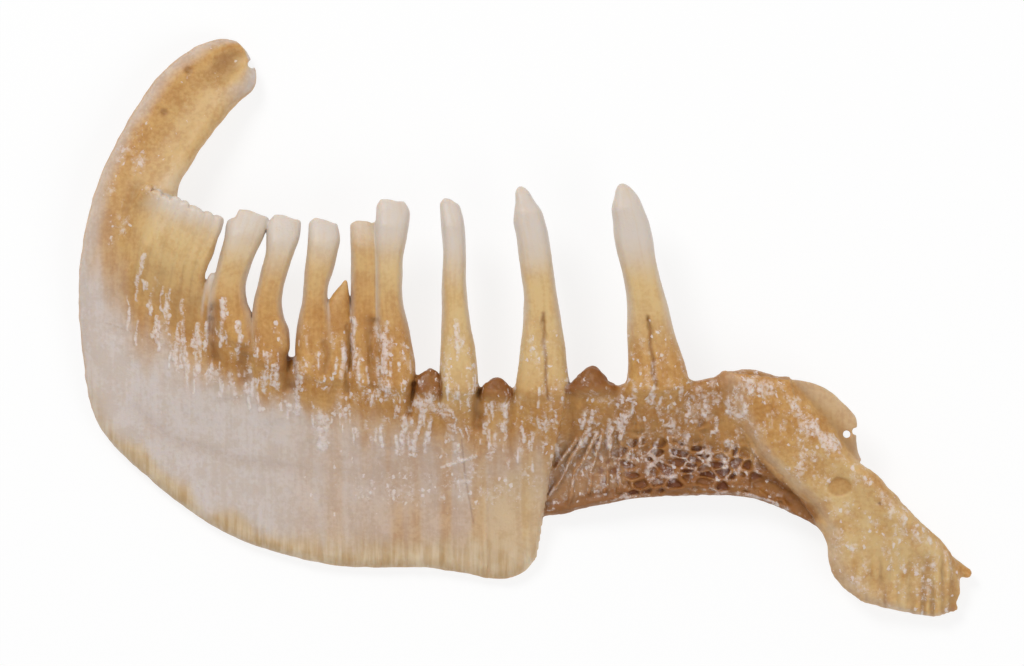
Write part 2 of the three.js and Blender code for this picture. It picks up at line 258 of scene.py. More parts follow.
def smooth_line(points, shares):
    """Places at shares from 0 to 1 of a smooth line through evenly counted points"""
    points = np.asarray(points, float)
    last = len(points) - 1
    place = np.clip(shares, 0, 1) * last
    first = np.minimum(place.astype(int), last - 1)
    t = place - first
    if points.ndim > 1:
        t = t[..., None]
    before, a, b, after = (points[np.clip(first + k, 0, last)] for k in (-1, 0, 1, 2))
    rise_a, rise_b = (b - before) / 2, (after - a) / 2
    return (
        (2 * t**3 - 3 * t**2 + 1) * a + (t**3 - 2 * t**2 + t) * rise_a
        + (3 * t**2 - 2 * t**3) * b + (t**3 - t**2) * rise_b
    )


LATTICE_SIZE = 64
LATTICE = np.random.default_rng(SEED).uniform(-1, 1, (LATTICE_SIZE,) * 3).astype(np.float32)


def noise(x, y, z):
    """Smooth random values from -1 to 1, whose bumps are about one unit across"""
    cells, shares = [], []
    for value in np.broadcast_arrays(x, y, z):
        cell = np.floor(value)
        cells.append(cell.astype(np.int64))
        shares.append(ease(0, 1, value - cell))
    total = 0
    for corner in np.ndindex(2, 2, 2):
        weight = 1
        for share, step in zip(shares, corner):
            weight = weight * (share if step else 1 - share)
        i, j, k = ((cell + step) % LATTICE_SIZE for cell, step in zip(cells, corner))
        total = total + weight * LATTICE[i, j, k]
    return total


def line_distance(x, y, points):
    """Distance in plan to a chain of straight steps"""
    nearest = np.inf
    for (ax, ay), (bx, by) in zip(points, points[1:]):
        dx, dy = bx - ax, by - ay
        share = np.clip(((x - ax) * dx + (y - ay) * dy) / (dx * dx + dy * dy), 0, 1)
        nearest = np.minimum(nearest, np.hypot(x - ax - share * dx, y - ay - share * dy))
    return nearest


def streak(x, y, points, width):
    """1 on a line in plan, fading out to its sides"""
    return bell(line_distance(x, y, points), 0, width)


def oval(x, y, centre, size, turn=0):
    """Distance in plan from an oval's middle, where 1 is its rim; turn is in degrees"""
    angle = np.radians(turn)
    dx, dy = x - centre[0], y - centre[1]
    along = dx * np.cos(angle) + dy * np.sin(angle)
    across = dy * np.cos(angle) - dx * np.sin(angle)
    return np.hypot(along / size[0], across / size[1])


# The volume and maps of its floor plan

NODE_BOXES = np.array([[list(corner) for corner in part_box(node)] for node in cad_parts]) / MM
LOW = NODE_BOXES[:, 0].min(axis=0) - BORDER
HIGH = NODE_BOXES[:, 1].max(axis=0) + BORDER
AXES = [np.arange(low, high, VOXEL) for low, high in zip(LOW, HIGH)]
PLAN_X, PLAN_Y = np.meshgrid(AXES[0], AXES[1], indexing="ij")


def read(plan, x, y):
    """Value of a map of the floor plan at any places, between its nodes"""
    i = np.clip((x - LOW[0]) / VOXEL, 0, plan.shape[0] - 1.001)
    j = np.clip((y - LOW[1]) / VOXEL, 0, plan.shape[1] - 1.001)
    i, j = np.broadcast_arrays(i, j)
    i0, j0 = i.astype(int), j.astype(int)
    a, b = i - i0, j - j0
    left = mix(plan[i0, j0], plan[i0, j0 + 1], b)
    right = mix(plan[i0 + 1, j0], plan[i0 + 1, j0 + 1], b)
    return mix(left, right, a)


class Plate:
    """A bent plate: u runs along it and v across it, both from 0 to 1, and edge is the depth inside it"""

    def __init__(self, spec):
        self.u, self.v, self.edge = self.rungs(spec["inner"], spec["outer"])
        self.known = self.edge > -REACH
        self.edge += spec["ragged"] * noise(PLAN_X / 0.5, PLAN_Y / 0.5, 3.5)
        v = np.clip(self.v, 0, 1)
        inner_mid, outer_mid = (smooth_line(line, self.u) for line in spec["mid"])
        self.mid = mix(outer_mid, inner_mid, (1 - v) ** PLATE_SAG)
        self.half = mix(*(smooth_line(line, self.u) for line in spec["half"]), v)
        self.rim, self.blend = spec["rim"], spec["blend"]

    @staticmethod
    def rungs(inner, outer):
        shares = np.linspace(0, 1, RUNGS)
        starts, ends = smooth_line(inner, shares), smooth_line(outer, shares)
        rail = np.hypot(*np.diff((starts + ends) / 2, axis=0).T).sum()
        maps = np.zeros(PLAN_X.shape), np.zeros(PLAN_X.shape), np.full(PLAN_X.shape, -REACH)
        corners = np.concatenate([starts, ends])
        low, high = corners.min(axis=0) - REACH, corners.max(axis=0) + REACH
        window = tuple(slice(*np.searchsorted(axis, pair)) for axis, pair in zip(AXES, zip(low, high)))
        u, v, edge = (plan[window] for plan in maps)
        for k, (start, end) in enumerate(zip(starts, ends)):
            across = end - start
            length = np.hypot(*across)
            dx, dy = PLAN_X[window] - start[0], PLAN_Y[window] - start[1]
            side = (dx * across[1] - dy * across[0]) / length
            share = (dx * across[0] + dy * across[1]) / length**2
            near = np.abs(share - 0.5) < 0.5 + REACH / length
            if k:
                part = last_side / np.where(last_side == side, 1, last_side - side)
                hit = near & last_near & (last_side * side <= 0)
                u[hit] = ((k - 1 + part) / (RUNGS - 1))[hit]
                v[hit] = mix(last_share, share, part)[hit]
                edge[hit] = (np.minimum(v, 1 - v) * length)[hit]
            last_side, last_share, last_near = side, share, near
        edge[:] = np.minimum(edge, np.where(edge > -REACH, np.minimum(u, 1 - u) * rail + 0.05, edge))
        return maps

    def field(self, x, y, z):
        edge, mid, half = (read(plan, x, y) for plan in (self.edge, self.mid, self.half))
        rim = np.minimum(half, self.rim)
        across = rim - edge
        up = np.abs(z - mid) - half + rim
        outside = np.hypot(most(across, 0), most(up, 0))
        return np.minimum(most(across, up), 0) + outside - rim


class Tooth:
    """An upright tooth with rounded sections, from its rows, whose root lies on the bone's face"""

    def __init__(self, spec, ground, cover):
        self.ground, self.cover = ground, cover
        rows = smooth_line(spec["rows"], np.linspace(1, 0, TOOTH_STEPS))
        self.y, self.x, self.width = rows.T
        self.foot, self.tip = self.y[0], self.y[-1]
        self.crown = spec.get("crown")
        self.pale, self.sink = spec.get("pale", 0), spec.get("sink", 0)
        self.ripe, self.golden = spec.get("ripe", 1), spec.get("golden", 0.4)

    def box(self):
        half = self.width.max() / 2 + BORDER
        low = (self.x.min() - half, self.foot - BORDER)
        return low, (self.x.max() + half, self.tip + BORDER)

    def field(self, x, y, z):
        centre = np.interp(y, self.y, self.x)
        width = np.interp(y, self.y, self.width)
        share = np.clip((y - self.foot) / (self.tip - self.foot), 0, 1)
        height = mix(TOOTH_ROOT["height"], TOOTH_TIP["height"], share)
        depth = mix(TOOTH_ROOT["depth"], TOOTH_TIP["depth"], share)
        depth = depth * (1 - EDGE_THINNING * ease(self.tip - EDGE_LENGTH, self.tip, y))
        if not self.crown:
            depth = np.minimum(depth, POINT_DEPTH * width)
        rise = mix(*ROOT_RISE, ease(self.foot, min(self.foot + ROOT_LENGTH, self.tip), y))
        limit = read(self.ground, x, y) + rise - depth / 2
        height = mix(height, np.minimum(height, limit), ease(-0.1, 0.7, read(self.cover, x, y)))
        a, b = np.abs(x - centre) / (width / 2), np.abs(z - height + self.sink) / (depth / 2)
        radius = (a**TOOTH_POWER + b**TOOTH_POWER) ** (1 / TOOTH_POWER)
        value = (radius - 1) * np.minimum(width, depth) / 2
        if self.crown:
            edge_x, edge_y = zip(*self.crown)
            top = np.interp(x, edge_x, edge_y)
        else:
            top = self.tip
        value = soft_max(value, y - top, CROWN_ROUND)
        return soft_max(value, self.foot - y, FOOT_ROUND)


class Volume:
    """Field on a grid: negative inside the bone"""

    def __init__(self):
        self.field = np.full([len(axis) for axis in AXES], REACH, np.float32)

    def join(self, shape, reach, low=LOW[:2], high=HIGH[:2], rule=soft_min):
        """Blends a shape in, within limits in plan; with soft_max, only what both have is left"""
        bounds = zip(AXES, (*low, LOW[2]), (*high, HIGH[2]))
        window = tuple(slice(*np.searchsorted(axis, (a, b))) for axis, a, b in bounds)
        places = np.ix_(*(axis[part] for axis, part in zip(AXES, window)))
        self.field[window] = rule(self.field[window], shape(*places), reach)

    def skin(self):
        """Vertices and four-sided faces of the largest closed surface, its faces turned outwards"""
        grid = openvdb.FloatGrid(background=REACH)
        grid.copyFromArray(self.field)
        points, quads = grid.convertToQuads(isovalue=0.0)
        vertices, quads = largest_piece(LOW + VOXEL * points.astype(float), quads.astype(np.int64))
        a, b, c, d = (vertices[quads[:, k]] for k in range(4))
        volume = np.einsum("ij,ij->i", a + c, np.cross(c - a, d - b)).sum()
        return vertices, quads if volume > 0 else quads[:, ::-1]


def largest_piece(vertices, quads):
    label = np.arange(len(vertices))
    while True:
        lowest = label.copy()
        np.minimum.at(lowest, quads.ravel(), np.repeat(label[quads].min(axis=1), 4))
        lowest = lowest[lowest]
        if np.array_equal(lowest, label):
            break
        label = lowest
    kept = label == np.bincount(label).argmax()
    place = np.cumsum(kept) - 1
    return vertices[kept], place[quads[kept[quads[:, 0]]]]


# Hollows and marks of the upper face, in plan

HORN_TROUGH = 0.35
HORN_HOLLOW = {"centre": (-15, 13.1), "size": (0.95, 0.5), "turn": 48}
PORES = [((-18.08, 10.78), 0.15), ((-16.88, 12.88), 0.17), ((17.68, -8.78), 0.08)]
FACET = {"centre": (15.7, -7.95), "size": (0.62, 0.5)}
FACET_SIDE = 16.3  # x of its straight side
SMOOTH_FACE = {"centre": (10.8, -5.4), "size": (1.4, 1.6)}
# Narrow recesses: their lines, widths and depths
RECESSES = [
    ([(-19.35, 7.2), (-19.7, 6.5), (-20, 5.9)], 0.2, 0.05),
    ([(-18.2, 2.6), (-18.5, 1.4)], 0.25, 0.08),
    ([(-17.4, 1.6), (-17.6, 0.2)], 0.25, 0.08),
    ([(-16.6, 1.3), (-16.8, -0.4)], 0.25, 0.08),
    ([(-15.5, 1), (-15.65, 0), (-15.5, -1.5)], 0.26, 0.25),
    ([(-14, -1.1), (-14.15, -1.8), (-14, -2.6)], 0.26, 0.2),
    ([(-11.9, -1.5), (-12.05, -2), (-11.8, -2.9)], 0.28, 0.25),
    ([(-10, -0.8), (-9.9, -1.4), (-10.05, -2.2)], 0.16, 0.12),
    ([(-8.85, 0), (-8.8, -1.6), (-8.9, -3.2)], 0.13, 0.16),
    ([(-7.7, 0.3), (-7.75, -0.7), (-7.65, -2.9)], 0.2, 0.18),
    ([(-5.6, -2.9), (-5.8, -3.6), (-5.85, -4.3)], 0.18, 0.2),
    ([(-2.35, -3.3), (-2.45, -4.1), (-2.35, -4.9)], 0.24, 0.22),
    ([(-0.6, -3.4), (-0.7, -4.6), (-0.8, -6.4)], 0.2, 0.1),
    ([(2.25, -3.4), (2.35, -4.2), (2.1, -5.4)], 0.22, 0.06),
    ([(11.7, -7.8), (13.2, -8.5), (14.2, -9.3)], 0.3, 0.8),
]
# Fine slits in the two last teeth
SLITS = [
    ([(0.88, 0.7), (0.93, 0), (0.9, -0.7), (1.02, -1.6), (1.0, -2.4), (1.12, -3.6)], 0.09, 0.14),
    ([(6.1, 0.5), (6.22, -0.2), (6.2, -0.9), (6.36, -1.6), (6.4, -2.3), (6.5, -2.9)], 0.1, 0.18),
]
# Thin walls that fan out over the shaft's end
FAN_WALLS = [
    [(2.5, -5.6), (1.9, -6.5), (1.1, -7.6)],
    [(3, -5.2), (2.5, -6.2), (2, -7.2), (1.2, -8.6)],
    [(3.5, -5.4), (2.9, -6.6), (2.4, -7.6), (2.1, -8.8)],
    [(3.9, -4.9), (3.6, -6.2), (3.3, -7.2), (3.1, -8.3)],
    [(4.3, -5.1), (4.2, -6.4), (4, -7.4), (3.9, -8.4)],
    [(4.8, -5.2), (4.75, -6.3), (4.6, -7.3), (4.7, -8.2)],
    [(5.3, -5.6), (5.4, -6.4), (5.3, -7)],
]
FAN_DEPTH = 0.5
SPONGE_CELL = (0.7, 0.5)
SPONGE_DEPTH = 0.5
CRACK = [(-3.2, -5.6), (-3, -7.6), (-2.6, -9.8)]
# Line along which the amber roots fade into the pale wing
ROOT_FOOT = [
    (-22.3, 9), (-21.8, 6.5), (-21.1, 3.3), (-19.7, 0.2), (-16.5, -2.2), (-11.3, -3.7), (-8.3, -4.7),
    (-4.3, -5.3), (-1.3, -5.7), (1, -6.4), (2, -7),
]
FLUTE_DEPTH = 0.1
# Marks of the wing: a line of growth, a step, and the flutes of its lower margin
GROWTH_LINE = [(-19.5, -4), (-17.8, -5.6), (-14, -6.7), (-10.3, -7.1)]
STEP_X = -1.95
MARGIN_FLUTE = 0.09
FIBRE_DEPTH = 0.2
# Step down along the process's outer margin: (-y, x)
LEDGE = [(9.6, 19.6), (11.2, 20.4), (12.6, 20.9), (14, 21.2)]
# Round cuts through thin places: place and radius
HOLES = [((16.03, -5.33), 0.19), ((16.5, -5.18), 0.17), ((-13.72, 13.2), 0.2), ((1.02, -10.75), 0.28)]
HOLE_BLEND = 0.08
# Hollows are carved above the middle of the plate that owns a place; past the plates, above the ridge
OVERLAP = 0.3
RIDGE_HEIGHT = 3
# Height at which the underside is cut level, and how round that leaves its edges
FLOOR_CUT = 0.02
FLOOR_BLEND = 0.1


def cells(x, y, layer):
    """Scattered points, about one in each unit square: distances to the nearest two, and a random share"""
    column, row = np.floor(x).astype(int), np.floor(y).astype(int)
    first = np.full(np.broadcast(x, y).shape, 9.0)
    second, pick = first.copy(), np.zeros(first.shape)
    for dx, dy in np.ndindex(3, 3):
        i, j = (column + dx - 1) % LATTICE_SIZE, (row + dy - 1) % LATTICE_SIZE
        px = column + dx - 0.5 + 0.45 * LATTICE[i, j, layer]
        py = row + dy - 0.5 + 0.45 * LATTICE[i, j, layer + 1]
        away = np.hypot(x - px, y - py)
        second = np.minimum(second, most(first, away))
        pick = np.where(away < first, LATTICE[i, j, layer + 2] / 2 + 0.5, pick)
        first = np.minimum(first, away)
    return first, second, pick


def sponge(shaft, x, y):
    """Depth of the spongy shaft's cells, and how near a place is to a wall between them"""
    u, v = read(shaft.u, x, y), read(shaft.v, x, y)
    bend = 0.5 * noise(x / 1.1, y / 1.1, 8.5)
    first, second, pick = cells(x / SPONGE_CELL[0] + bend, y / SPONGE_CELL[1] - bend, 20)
    fray = noise(x / 0.8, y / 0.8, 5.5)
    start = 0.34 + 0.22 * ease(0.6, 0.85, u)
    band = ease(start, start + 0.24, v + 0.16 * fray) * ease(0.98, 0.93, v)
    band = band * ease(0.24, 0.44, u + 0.06 * fray) * ease(0.98, 0.84, u + 0.06 * fray)
    band = band * (read(shaft.edge, x, y) > 0)
    gap = second - first + 0.24 * noise(x / 0.6, y / 0.6, 9.5) + 0.14 * noise(x / 0.2, y / 0.2, 3.5)
    wall = ease(0.55, 0.12, gap)
    return SPONGE_DEPTH * band * (1 - wall) * (0.4 + 0.6 * pick), band * wall


def root_band(x, y):
    """1 among the tooth roots, fading out in streaks on the wing"""
    above = np.sign(y - np.interp(x, *zip(*ROOT_FOOT))) * line_distance(x, y, ROOT_FOOT)
    streaks = 0.7 * noise(x / 0.35, y / 3, 4.5) + 0.5 * noise(x / 0.9, y / 1.5, 2.5)
    return ease(-1.5, 1.3, above + streaks)


def fibres(x, y):
    """Ridges of the shaft's upper face, which lean with the fan"""
    lean = x + 0.3 * (y + 5) * ease(7, 3, x)
    return 1 - np.abs(noise(lean / 0.34, y / 1.5, 7.5)) * 2 + 0.5 * noise(x / 0.2, y / 0.3, 1.5)


def facet(x, y):
    """1 on the flat mark of the process, which is round but for one straight side"""
    away = oval(x, y, **FACET) * (1 + 0.15 * noise(x / 0.5, y / 0.5, 2.5))
    return ease(1.1, 0.85, away) * ease(0.06, -0.06, x - FACET_SIDE)


def striae(process, x, y):
    """Fine upright ridges at the process's end, from -1 to 1"""
    return ease(0.5, 0.85, read(process.u, x, y)) * noise(x / 0.24, y / 2.4, 5.5)


def upper_hollows(blade, shaft, process):
    """How deep the upper face is carved at each place in plan"""
    x, y = PLAN_X, PLAN_Y
    grit = noise(x / 0.35, y / 0.35, 4.5)
    horn = ease(0.42, 0.3, blade.u) * ease(0.01, 0.1, blade.u) * (blade.edge > -0.5)
    depth = horn * (HORN_TROUGH * bell(blade.v, 0.42, 0.27) + 0.03 * grit)
    depth += 0.15 * ease(0.3, 0.12, blade.v) * ease(0.26, 0.16, blade.u) * (blade.edge > -0.5)
    depth += 0.22 * ease(1.6, 0.2, oval(x, y, **HORN_HOLLOW) + 0.35 * noise(x / 0.5, y / 0.5, 0.5))
    for centre, radius in PORES:
        depth += 0.1 * ease(1.4, 0.3, oval(x, y, centre, (radius, radius)))
    sway, uneven = 0.16 * noise(x / 0.4, y / 0.4, 6.5), 0.8 + 0.5 * noise(x / 0.3, y / 0.3, 0.5)
    for points, width, deep in RECESSES + SLITS:
        depth += deep * streak(x + sway, y, points, width) * uneven
    root = root_band(x, y) * ease(0.1, 1.3, blade.edge) * ease(0.4, 0.5, blade.u)
    depth += FLUTE_DEPTH * root * noise(x / 0.42, y / 2.2, 2.5)
    wing = (blade.edge > 0) * ease(0.5, 0.6, blade.u)
    margin = wing * ease(0.8, 0.97, blade.v) * ease(0.6, 0.75, blade.u)
    depth += MARGIN_FLUTE * margin * np.abs(noise(x / 0.3, y / 2, 9.5)) * 2
    depth += 0.02 * wing * streak(x, y, GROWTH_LINE, 0.2)
    depth += 0.1 * wing * ease(-0.08, 0.08, x - STEP_X) * ease(-6.5, -8.5, y)
    inside = (shaft.edge > 0) * ease(0.15, 0, blade.edge) * ease(0.03, 0.2, shaft.v)
    sunk = ease(0.02, 0.12, shaft.u) * ease(0.92, 0.75, shaft.u) * inside
    depth += 0.35 * sunk * bell(shaft.v, 0.68, 0.22)
    fan = ease(0.45, 0.36, shaft.u) * ease(0.28, 0.5, shaft.v) * ease(0.97, 0.88, shaft.v)
    sway = 0.15 * noise(x / 0.6, y / 0.6, 3.5)
    walls = most(*(streak(x + sway, y, wall, 0.11) for wall in FAN_WALLS))
    rough = 0.7 + 0.5 * noise(x / 0.45, y / 0.6, 4.5)
    depth += FAN_DEPTH * fan * inside * ease(0.02, 0.1, shaft.u) * (1 - walls) * rough
    upper = ease(0.62, 0.45, shaft.v) * sunk
    depth += FIBRE_DEPTH * upper * (1 - fibres(x, y)) / 2
    depth += 0.06 * inside * ease(0.82, 0.92, shaft.v) * noise(shaft.u * 7, shaft.v * 34, 3.5)
    depth += sponge(shaft, x, y)[0]
    depth += 0.1 * facet(x, y)
    on_process = (process.edge > 0) * ease(0.1, 0.4, process.u)
    lumps = 0.05 * noise(x / 0.8, y / 0.8, 8.5) + 0.04 * grit
    depth += on_process * (0.16 * bell(process.v, 0.5, 0.28) + lumps)
    depth += 0.16 * on_process * striae(process, x, y)
    depth += 0.1 * on_process * ease(-0.1, 0.1, x - np.interp(-y, *zip(*LEDGE))) * (y < -9.7)
    depth += 0.05 * streak(x, y, CRACK, 0.05)
    return depth


def spur(x, y, z):
    """A small broken spike at the process's end"""
    (ax, ay), (bx, by) = SPUR["line"]
    share = np.clip(((x - ax) * (bx - ax) + (y - ay) * (by - ay)) / ((bx - ax) ** 2 + (by - ay) ** 2), 0, 1)
    away = np.hypot(np.hypot(x - mix(ax, bx, share), y - mix(ay, by, share)), z - SPUR["height"])
    return away - mix(*SPUR["radius"], share)


def around(centre, radius):
    """All that lies outside an upright round hole"""
    return lambda x, y, z: radius - np.hypot(x - centre[0], y - centre[1]) + 0 * z


def build_volume(plates, teeth):
    blade, shaft, process = plates[:3]
    process.edge += 0.12 * ease(0.85, 0.95, process.u) * noise(PLAN_X / 0.3, PLAN_Y / 0.3, 6.5)
    volume, row = Volume(), Volume()
    for plate in plates:
        volume.join(plate.field, plate.blend)
    for tooth in teeth:
        row.join(tooth.field, TOOTH_BLEND, *tooth.box())
    volume.field = soft_min(volume.field, row.field, ROW_BLEND)
    volume.join(spur, SPUR["blend"])
    on_blade, on_shaft, on_process = (plate.edge > -OVERLAP for plate in (blade, shaft, process))
    owned = [on_process, on_shaft & (blade.edge < OVERLAP), on_blade]
    middle = np.select(owned, [process.mid, shaft.mid, blade.mid], RIDGE_HEIGHT)
    z = AXES[2][None, None, :]
    upper = ease(0, 0.4, z - middle[..., None])
    volume.field += (upper_hollows(blade, shaft, process)[..., None] * upper).astype(np.float32)
    for centre, radius in HOLES:
        volume.join(around(centre, radius), HOLE_BLEND, np.subtract(centre, 1), np.add(centre, 1), soft_max)
    below = np.broadcast_to(FLOOR_CUT - z, volume.field.shape)
    volume.field = soft_max(volume.field, below, FLOOR_BLEND).astype(np.float32)
    return volume


def add_bake_map(mesh):
    """Texture places in plan: upper faces in one half of the square, lower faces in the other"""
    corners = np.empty(len(mesh.loops), np.int32)
    mesh.loops.foreach_get("vertex_index", corners)
    places = np.empty(3 * len(mesh.vertices), np.float32)
    mesh.vertices.foreach_get("co", places)
    facing = np.empty(3 * len(mesh.polygons), np.float32)
    mesh.polygons.foreach_get("normal", facing)
    upper = np.repeat(facing[2::3] > 0, 4)
    place = (places.reshape(-1, 3)[corners, :2] / MM - LOW[:2]) / (HIGH - LOW)[:2]
    place[:, 1] = (place[:, 1] + upper) / 2
    mesh.uv_layers.new(name="OFBake").uv.foreach_set("vector", place.astype(np.float32).ravel())


def make_mesh(name, vertices, quads):
    mesh = bpy.data.meshes.new(name)
    mesh.from_pydata((vertices * MM).tolist(), [], quads.tolist())
    mesh.validate()
    mesh.shade_smooth()
    add_bake_map(mesh)
    piece = bpy.data.objects.new(name, mesh)
    bpy.context.collection.objects.link(piece)
    return piece


def slats(u, v):
    """Place across the comb, in slats, and how near a seam between two of them it is"""
    place = np.clip(v + 0.07 * noise(v * 5, u * 1.5, 1.5), 0, 1) * SLATS
    return place, ease(0.5, 0, np.abs(place - np.round(place)) * 2)


def build_comb(ground):
    comb = Plate(COMB)
    place, seam = slats(comb.u, comb.v)
    lengths = np.random.default_rng(SEED + 2).uniform(0, 0.3, SLATS + 1)
    cut = lengths[np.clip(place.astype(int), 0, SLATS)] + 0.12 * seam
    fringe = 0.09 * noise(PLAN_X / 0.22, PLAN_Y / 0.22, 2.5)
    comb.edge = np.minimum(comb.edge, comb.u * COMB_LENGTH - cut + fringe)
    groove = SLAT_GROOVE * (0.6 + 0.7 * noise(np.round(place) * 3.7, comb.u * 2.5, 5.5))
    comb.half = comb.half - groove * seam + 0.03 * noise(comb.v * 26, comb.u * 3, 8.5)
    sunk = most(ease(0.4, 0.95, comb.u), ease(0.6, 1, comb.v) * ease(0.02, 0.3, comb.u))
    comb.mid = mix(comb.mid, np.minimum(comb.mid, ground - comb.half), sunk)
    return comb


# Colour and relief of the skin at its vertices

# Main lines of white crust that run down the roots: upper end, lower end and half width
CRUST_LINES = [
    ((-19, 3.6), (-19.5, 2.2), 0.1), ((-18.4, 2.3), (-18.8, 1.1), 0.12),
    ((-17.8, 1.4), (-18, -0.1), 0.12), ((-17.1, 1.4), (-17.2, -0.6), 0.1),
    ((-16.4, 0.1), (-16.5, -2.4), 0.12), ((-15.7, 0.9), (-16, -1.1), 0.1),
    ((-18.5, 0.5), (-18.6, -0.4), 0.1), ((-17.4, 0.2), (-17.5, -2.1), 0.1),
    ((-15.1, 1.3), (-15.3, -0.9), 0.14), ((-14.3, 0.2), (-14.3, -2.4), 0.12),
    ((-13, -2.2), (-13, -3.2), 0.14), ((-12.4, -1.9), (-12.4, -3), 0.12),
    ((-11.4, -1.6), (-11.4, -4.2), 0.16), ((-10.2, -4.5), (-10.2, -5.8), 0.28),
    ((-9.1, -0.8), (-9.1, -2.5), 0.14), ((-8.6, 0.4), (-8.6, -2), 0.12), ((-7, 0.2), (-7, -2.2), 0.16),
    ((-7.3, -1.5), (-7.3, -3.4), 0.12), ((-5.9, -4), (-6.2, -6.2), 0.12),
    ((-5.3, -4.4), (-5.6, -6.4), 0.1), ((-4.8, -4.4), (-5, -6.2), 0.1), ((-3.4, 0.3), (-3.4, -1.6), 0.1),
    ((-1, -4), (-1, -5.6), 0.16), ((2.1, -2.6), (2.2, -4), 0.12), ((4.2, -4.6), (4.1, -6), 0.12),
    ((4.9, -4.4), (4.8, -5.6), 0.12), ((-4.2, -7), (-2.4, -6.4), 0.08),
]
# Patches of granular crust: middle, half sizes, turn and strength
CRUST_PATCHES = [
    ((-5, -3.9), (0.75, 0.8), 0, 0.72), ((11.4, -2.9), (1.2, 0.7), -15, 0.66),
    ((9.3, -3.6), (1.8, 0.9), 10, 0.56), ((14.2, -4.9), (1.9, 0.5), -48, 0.44),
    ((7.6, -5.2), (1.6, 0.8), 0, 0.52), ((6.8, -4.4), (2.2, 1), 0, 0.4),
    ((16.2, -7), (2, 0.5), -42, 0.42), ((20.2, -10.9), (1.6, 0.5), -45, 0.45),
    ((16.4, -11), (0.6, 0.5), 0, 0.5), ((-20, 8.4), (0.9, 1), 60, 0.36),
    ((-19.3, 8.8), (1.2, 0.7), 60, 0.34), ((-8.2, -3.6), (2.6, 1), 0, 0.36),
    ((-7.2, -0.6), (0.5, 1.2), 0, 0.45), ((-1.4, -3.9), (0.9, 0.4), 0, 0.45),
    ((3.3, -4.5), (1.2, 0.8), 0, 0.42), ((10.6, -4.3), (1.2, 0.5), -30, 0.5),
    ((-20.6, 7), (0.5, 1.6), -15, 0.36), ((-18.4, 6.6), (0.8, 0.4), -30, 0.5),
    ((10.4, -3.4), (0.8, 0.6), 0, 0.66), ((15.1, -5.8), (0.9, 0.5), -45, 0.7),
    ((8.7, -4.6), (1, 0.7), 0, 0.58), ((-4.2, -4.1), (0.6, 0.8), 0, 0.5),
    ((-20.3, 5.2), (0.7, 1.4), -15, 0.42),
]
# Short dashes of crust, strewn over the roots and over the upper face of the shaft
ROOT_DASHES = 160
SHAFT_DASHES = 24
DASH_REACH = (1.6, 2.5)  # from its middle, sideways and along
SHAFT_STAIN = (0.5, 0.92)  # on its upper and on its lower half
CRUST_HEIGHT = 0.05
# The hollows found this way are painted darker, as shade
CAVITY_ROUNDS = 24  # of smoothing, to find what lies in a hollow
# Crease between the process and its flange
CREASE = [(12.9, -3.3), (13.9, -4.5), (14.9, -5.5), (15.6, -6.2)]


def crust_dashes():
    """Upper and lower end of each dash, and its half width"""
    pick = np.random.default_rng(SEED + 5)
    yield from CRUST_LINES
    for _ in range(ROOT_DASHES):
        x = pick.uniform(-20, 1.8)
        top = np.interp(x, *zip(*ROOT_FOOT)) + pick.uniform(-0.5, 3.3)
        yield (x, top), (x, top - pick.uniform(0.15, 1)), pick.uniform(0.03, 0.08)
    for _ in range(SHAFT_DASHES):
        x, y = pick.uniform(2.4, 11), pick.uniform(-5.8, -2.9)
        length = pick.uniform(0.15, 0.8)
        yield (x, y), (x - 0.25 * length, y - length), pick.uniform(0.06, 0.13)


def vertex_normals(vertices, quads):
    a, b, c, d = (vertices[quads[:, k]] for k in range(4))
    face = np.cross(c - a, d - b)
    total = np.stack([
        np.bincount(quads.ravel(), np.repeat(face[:, axis], 4), len(vertices)) for axis in range(3)
    ], axis=1)
    return total / most(np.linalg.norm(total, axis=1, keepdims=True), 1e-12)


def smoothed(values, quads, rounds):
    """Values spread over the skin: each round takes the mean over a vertex's faces"""
    corners = quads.ravel()
    count = np.bincount(corners, minlength=len(values))
    for _ in range(rounds):
        mean = values[quads].mean(axis=1)
        values = np.bincount(corners, np.repeat(mean, 4), len(values)) / count
    return values


